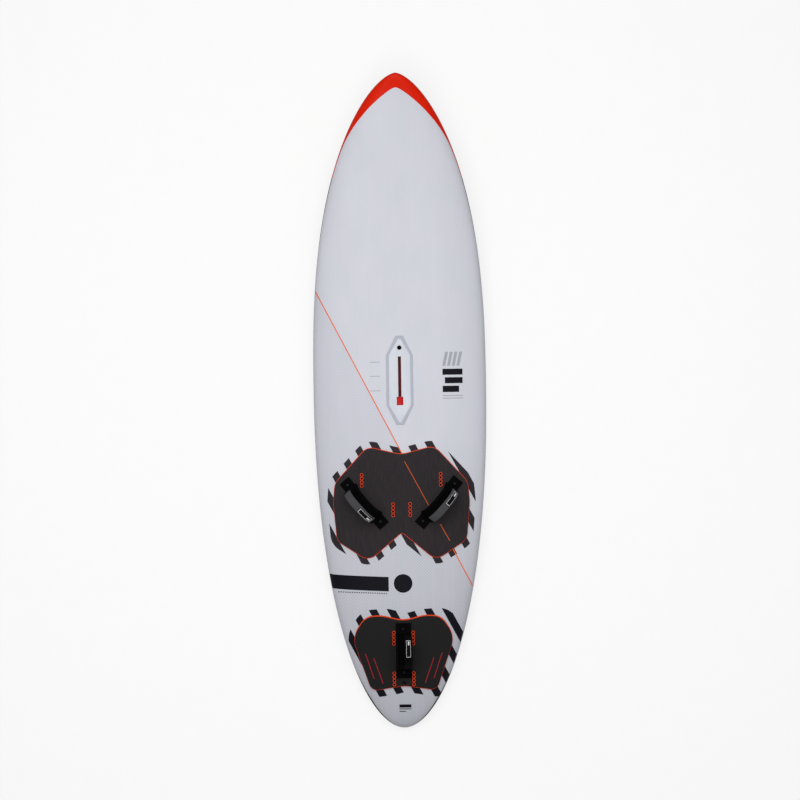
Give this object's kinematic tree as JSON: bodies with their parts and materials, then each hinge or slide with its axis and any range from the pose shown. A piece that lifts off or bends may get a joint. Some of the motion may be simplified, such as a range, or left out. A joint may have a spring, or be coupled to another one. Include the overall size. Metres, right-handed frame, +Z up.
{
  "type": "windsurf board",
  "caption": "Windsurf board with a rounded tail, deck pads, foot straps, a slotted mast track and slotted fin boxes.",
  "frame": {"origin": "on the floor under the middle of the board's length, on its centre line", "axes": "+X to the right of a rider facing the nose, +Y along the board to the nose, +Z up from bottom to deck"},
  "size_m": [0.606, 2.3, 0.2109],
  "materials": {
    "foam": "matte",
    "deck_paint": "satin",
    "bottom_paint": "gloss",
    "white_plastic": "satin",
    "red_plastic": "satin",
    "black_plastic": "satin",
    "orange_plastic": "satin",
    "charcoal_foam": "matte",
    "orange_foam": "matte",
    "black_rubber": "matte",
    "black_webbing": "matte",
    "black_sleeve": "matte",
    "grey_flap": "matte",
    "steel": "satin"
  },
  "bodies": {
    "board": {"bottom_skin": "bottom_paint", "centre_fin_box": "black_plastic", "deck_skin": "deck_paint", "foam_core": "foam", "front_left_strap_screw_inner": "steel", "front_left_strap_screw_outer": "steel", "front_left_strap_tab_inner": "black_plastic", "front_left_strap_tab_outer": "black_plastic", "front_pad_base": "orange_foam", "front_pad_top": "charcoal_foam", "front_right_strap_screw_inner": "steel", "front_right_strap_screw_outer": "steel", "front_right_strap_tab_inner": "black_plastic", "front_right_strap_tab_outer": "black_plastic", "left_fin_box": "orange_plastic", "mast_track_box": "white_plastic", "mast_track_rail": "red_plastic", "rear_pad_base": "orange_foam", "rear_pad_top": "charcoal_foam", "rear_strap_screw_aft": "steel", "rear_strap_screw_fore": "steel", "rear_strap_tab_aft": "black_plastic", "rear_strap_tab_fore": "black_plastic", "right_fin_box": "orange_plastic", "spare_plug_front_inner_left": "black_plastic", "spare_plug_front_inner_right": "black_plastic", "spare_plug_front_outer_left": "black_plastic", "spare_plug_front_outer_right": "black_plastic", "spare_plug_rear_aft_left": "black_plastic", "spare_plug_rear_aft_right": "black_plastic", "spare_plug_rear_ahead_left": "black_plastic", "spare_plug_rear_ahead_right": "black_plastic", "strap_plug_front_left_inner": "black_plastic", "strap_plug_front_left_outer": "black_plastic", "strap_plug_front_right_inner": "black_plastic", "strap_plug_front_right_outer": "black_plastic", "strap_plug_rear_aft": "black_plastic", "strap_plug_rear_fore": "black_plastic", "vent_housing": "black_plastic", "vent_oring": "black_rubber"},
    "front_left_strap_flap": {"front_left_strap_flap": "grey_flap"},
    "front_left_strap": {"front_left_strap_sleeve": "black_sleeve", "front_left_strap_webbing": "black_webbing"},
    "front_right_strap_flap": {"front_right_strap_flap": "grey_flap"},
    "front_right_strap": {"front_right_strap_sleeve": "black_sleeve", "front_right_strap_webbing": "black_webbing"},
    "left_clamp_screw_front": {"left_clamp_screw_front": "steel"},
    "left_clamp_screw_rear": {"left_clamp_screw_rear": "steel"},
    "rear_strap_flap": {"rear_strap_flap": "grey_flap"},
    "rear_strap": {"rear_strap_sleeve": "black_sleeve", "rear_strap_webbing": "black_webbing"},
    "right_clamp_screw_front": {"right_clamp_screw_front": "steel"},
    "right_clamp_screw_rear": {"right_clamp_screw_rear": "steel"},
    "track_end_plug": {"track_end_plug": "red_plastic"},
    "vent_screw": {"vent_screw": "black_plastic"}
  },
  "joints": [
    {"name": "front_left_strap_tilt", "type": "hinge", "parent": "board", "child": "front_left_strap", "pos_m": [-0.13321, -0.36155, 0.14249], "axis": [-0.6548, 0.7549, -0.0374], "range_deg": [-40, 40], "stiffness_Nm_per_rad": 0.5},
    {"name": "front_left_strap_flap_lift", "type": "hinge", "parent": "front_left_strap", "child": "front_left_strap_flap", "pos_m": [-0.17923, -0.31344, 0.17557], "axis": [-0.7501, -0.6551, -0.0905], "range_deg": [0, 70]},
    {"name": "front_right_strap_tilt", "type": "hinge", "parent": "board", "child": "front_right_strap", "pos_m": [0.13321, -0.36155, 0.1425], "axis": [-0.6548, -0.7549, 0.0374], "range_deg": [-40, 40], "stiffness_Nm_per_rad": 0.5},
    {"name": "front_right_strap_flap_lift", "type": "hinge", "parent": "front_right_strap", "child": "front_right_strap_flap", "pos_m": [0.09383, -0.41189, 0.18045], "axis": [0.7501, -0.6551, -0.0905], "range_deg": [0, 70]},
    {"name": "rear_strap_tilt", "type": "hinge", "parent": "board", "child": "rear_strap", "pos_m": [0, -0.88236, 0.12263], "axis": [0, -0.9955, -0.0949], "range_deg": [-40, 40], "stiffness_Nm_per_rad": 0.5},
    {"name": "rear_strap_flap_lift", "type": "hinge", "parent": "rear_strap", "child": "rear_strap_flap", "pos_m": [0, -0.94189, 0.1524], "axis": [1, 0, 0], "range_deg": [0, 70]},
    {"name": "vent_screw_turn", "type": "hinge", "parent": "board", "child": "vent_screw", "pos_m": [0, 0.184, 0.11785], "axis": [0, -0.0058, 1], "continuous": true},
    {"name": "track_end_plug_lift", "type": "slide", "parent": "board", "child": "track_end_plug", "axis": [0, -0.0058, 1], "range_m": [0, 0.03]},
    {"name": "left_clamp_screw_front_turn", "type": "hinge", "parent": "board", "child": "left_clamp_screw_front", "pos_m": [-0.163, -0.769, 0.00257], "axis": [0, -0.0128, -0.9999], "continuous": true},
    {"name": "left_clamp_screw_rear_turn", "type": "hinge", "parent": "board", "child": "left_clamp_screw_rear", "pos_m": [-0.163, -0.829, 0.00334], "axis": [0, -0.0128, -0.9999], "continuous": true},
    {"name": "right_clamp_screw_front_turn", "type": "hinge", "parent": "board", "child": "right_clamp_screw_front", "pos_m": [0.163, -0.769, 0.00257], "axis": [0, -0.0128, -0.9999], "continuous": true},
    {"name": "right_clamp_screw_rear_turn", "type": "hinge", "parent": "board", "child": "right_clamp_screw_rear", "pos_m": [0.163, -0.829, 0.00334], "axis": [0, -0.0128, -0.9999], "continuous": true}
  ]
}
